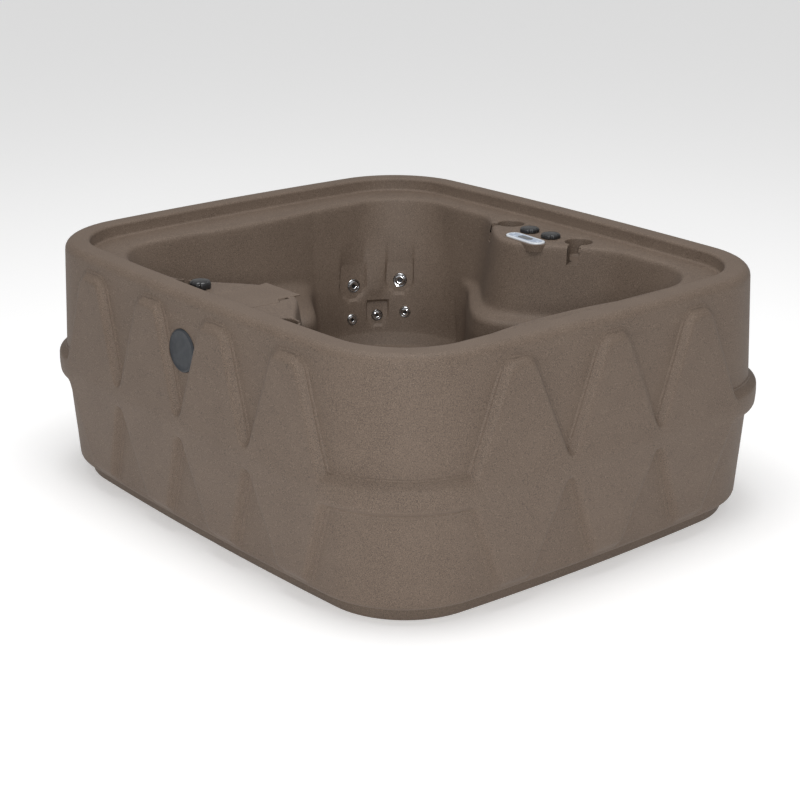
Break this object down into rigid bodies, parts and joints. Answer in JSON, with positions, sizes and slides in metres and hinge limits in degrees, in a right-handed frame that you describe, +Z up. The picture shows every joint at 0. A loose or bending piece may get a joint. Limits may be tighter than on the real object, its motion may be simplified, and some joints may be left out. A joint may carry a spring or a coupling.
{
  "type": "hot tub",
  "caption": "Four-seat rigid moulded hot tub: double-wall speckled shell with corner seats, footwell, jets, deck controls, cup holders, filter well and an equipment bay with a door.",
  "frame": {"origin": "middle of the underside, on the ground", "axes": "+Z up, X along the longer side, +Y towards the control deck and the equipment door"},
  "size_m": [1.8978, 1.6462, 0.762],
  "materials": {
    "brown_plastic": "fine moulded grain, speckled brown",
    "pan_plastic": "fine moulded grain, plain brown",
    "black_plastic": "satin black",
    "badge_plastic": "dark grey-blue, satin",
    "panel_plastic": "satin silver white",
    "display_window": "dark clear window",
    "button_rubber": "soft matt",
    "jet_metal": "polished",
    "white_plastic": "satin",
    "grey_plastic": "satin",
    "filter_cloth": "pleated cloth",
    "clear_plastic": "frosted clear",
    "motor_paint": "satin enamel",
    "stainless": "brushed",
    "foam": "open cut foam"
  },
  "bodies": {
    "tub": {"unibody_shell": "brown_plastic", "base_pan": "pan_plastic", "suction_cover_left": "black_plastic", "suction_cover_right": "black_plastic", "drain_valve": "black_plastic", "power_inlet_gland": "black_plastic", "pump_wet_end": "black_plastic", "badge_disc": "badge_plastic", "control_panel": "panel_plastic", "panel_display": "display_window", "jet_upper_left_body": "jet_metal", "jet_upper_right_body": "jet_metal", "jet_lower_left_body": "jet_metal", "jet_lower_middle_body": "jet_metal", "jet_lower_right_body": "jet_metal", "near_seat_jet_body": "jet_metal", "left_seat_jet_body": "jet_metal", "right_seat_jet_body": "jet_metal", "air_left_valve": "white_plastic", "air_right_valve": "white_plastic", "diverter_valve": "white_plastic", "light_housing": "white_plastic", "return_pipe": "white_plastic", "suction_pipe": "white_plastic", "filter_well": "grey_plastic", "skimmer_grille": "grey_plastic", "heater_union_left": "grey_plastic", "heater_union_right": "grey_plastic", "control_box": "grey_plastic", "control_box_lid": "grey_plastic", "filter_cartridge": "filter_cloth", "light_lens": "clear_plastic", "pump_motor": "motor_paint", "heater_tube": "stainless", "equipment_stand": "stainless", "seat_foam_left": "foam", "seat_foam_right": "foam"},
    "air_left_control": {"air_left_knob": "black_plastic"},
    "air_right_control": {"air_right_knob": "black_plastic"},
    "diverter_control": {"diverter_knob": "black_plastic"},
    "button_1": {"panel_button_1": "button_rubber"},
    "button_2": {"panel_button_2": "button_rubber"},
    "button_3": {"panel_button_3": "button_rubber"},
    "button_4": {"panel_button_4": "button_rubber"},
    "filter_cover": {"filter_lid": "brown_plastic"},
    "access_door": {"equipment_door": "brown_plastic"},
    "thumbscrew_1": {"door_thumbscrew_1": "black_plastic"},
    "thumbscrew_2": {"door_thumbscrew_2": "black_plastic"},
    "thumbscrew_3": {"door_thumbscrew_3": "black_plastic"},
    "thumbscrew_4": {"door_thumbscrew_4": "black_plastic"},
    "drain_closure": {"drain_cap": "grey_plastic"},
    "pump_rotor": {"impeller": "white_plastic"},
    "jet_upper_left_insert": {"jet_upper_left_face": "jet_metal"},
    "jet_upper_right_insert": {"jet_upper_right_face": "jet_metal"},
    "jet_lower_left_insert": {"jet_lower_left_face": "jet_metal"},
    "jet_lower_middle_insert": {"jet_lower_middle_face": "jet_metal"},
    "jet_lower_right_insert": {"jet_lower_right_face": "jet_metal"},
    "near_seat_jet_insert": {"near_seat_jet_face": "jet_metal"},
    "left_seat_jet_insert": {"left_seat_jet_face": "jet_metal"},
    "right_seat_jet_insert": {"right_seat_jet_face": "jet_metal"}
  },
  "joints": [
    {"name": "air_left_turn", "type": "hinge", "parent": "tub", "child": "air_left_control", "pos_m": [-0.018, 0.571, 0.719], "axis": [0, 0, 1], "range_deg": [0, 270]},
    {"name": "air_right_turn", "type": "hinge", "parent": "tub", "child": "air_right_control", "pos_m": [0.082, 0.569, 0.719], "axis": [0, 0, 1], "range_deg": [0, 270]},
    {"name": "diverter_turn", "type": "hinge", "parent": "tub", "child": "diverter_control", "pos_m": [-0.15, -0.627, 0.719], "axis": [0, 0, 1], "range_deg": [0, 180]},
    {"name": "button_1_press", "type": "slide", "parent": "tub", "child": "button_1", "axis": [0, 0, -1], "range_m": [0, 0.001], "stiffness_N_per_m": 200},
    {"name": "button_2_press", "type": "slide", "parent": "tub", "child": "button_2", "axis": [0, 0, -1], "range_m": [0, 0.001], "stiffness_N_per_m": 200},
    {"name": "button_3_press", "type": "slide", "parent": "tub", "child": "button_3", "axis": [0, 0, -1], "range_m": [0, 0.001], "stiffness_N_per_m": 200},
    {"name": "button_4_press", "type": "slide", "parent": "tub", "child": "button_4", "axis": [0, 0, -1], "range_m": [0, 0.001], "stiffness_N_per_m": 200},
    {"name": "filter_cover_lift", "type": "slide", "parent": "tub", "child": "filter_cover", "axis": [0, 0, 1], "range_m": [0, 0.15]},
    {"name": "access_door_pull", "type": "slide", "parent": "tub", "child": "access_door", "axis": [0, 1, 0], "range_m": [0, 0.2]},
    {"name": "thumbscrew_1_turn", "type": "hinge", "parent": "access_door", "child": "thumbscrew_1", "pos_m": [-0.238, 0.7985, 0.142], "axis": [0, 1, 0], "continuous": true},
    {"name": "thumbscrew_2_turn", "type": "hinge", "parent": "access_door", "child": "thumbscrew_2", "pos_m": [-0.238, 0.7985, 0.618], "axis": [0, 1, 0], "continuous": true},
    {"name": "thumbscrew_3_turn", "type": "hinge", "parent": "access_door", "child": "thumbscrew_3", "pos_m": [0.238, 0.7985, 0.142], "axis": [0, 1, 0], "continuous": true},
    {"name": "thumbscrew_4_turn", "type": "hinge", "parent": "access_door", "child": "thumbscrew_4", "pos_m": [0.238, 0.7985, 0.618], "axis": [0, 1, 0], "continuous": true},
    {"name": "drain_cap_turn", "type": "hinge", "parent": "tub", "child": "drain_closure", "pos_m": [-0.372, 0.77729, 0.12], "axis": [0, 0.9971, -0.0754], "continuous": true},
    {"name": "impeller_spin", "type": "hinge", "parent": "tub", "child": "pump_rotor", "pos_m": [0.0253, 0.65, 0.112], "axis": [1, 0, 0], "continuous": true},
    {"name": "jet_upper_left_turn", "type": "hinge", "parent": "tub", "child": "jet_upper_left_insert", "pos_m": [-0.66435, 0.34292, 0.43422], "axis": [0.9673, -0.2056, 0.1483], "range_deg": [0, 90]},
    {"name": "jet_upper_right_turn", "type": "hinge", "parent": "tub", "child": "jet_upper_right_insert", "pos_m": [-0.58699, 0.49199, 0.44622], "axis": [0.6993, -0.6993, 0.1483], "range_deg": [0, 90]},
    {"name": "jet_lower_left_turn", "type": "hinge", "parent": "tub", "child": "jet_lower_left_insert", "pos_m": [-0.63996, 0.31688, 0.322], "axis": [0.9726, -0.2067, 0.1065], "range_deg": [0, 90]},
    {"name": "jet_lower_middle_turn", "type": "hinge", "parent": "tub", "child": "jet_lower_middle_insert", "pos_m": [-0.61783, 0.41035, 0.32672], "axis": [0.8611, -0.4972, 0.1065], "range_deg": [0, 90]},
    {"name": "jet_lower_right_turn", "type": "hinge", "parent": "tub", "child": "jet_lower_right_insert", "pos_m": [-0.54726, 0.48126, 0.34], "axis": [0.6523, -0.7504, 0.1065], "range_deg": [0, 90]},
    {"name": "near_seat_jet_turn", "type": "hinge", "parent": "tub", "child": "near_seat_jet_insert", "pos_m": [0.59402, -0.44962, 0.4], "axis": [-0.7835, 0.6122, 0.1065], "range_deg": [0, 90]},
    {"name": "left_seat_jet_turn", "type": "hinge", "parent": "tub", "child": "left_seat_jet_insert", "pos_m": [-0.59402, -0.44962, 0.4], "axis": [0.7835, 0.6122, 0.1065], "range_deg": [0, 90]},
    {"name": "right_seat_jet_turn", "type": "hinge", "parent": "tub", "child": "right_seat_jet_insert", "pos_m": [0.59402, 0.44962, 0.4], "axis": [-0.7835, -0.6122, 0.1065], "range_deg": [0, 90]}
  ]
}
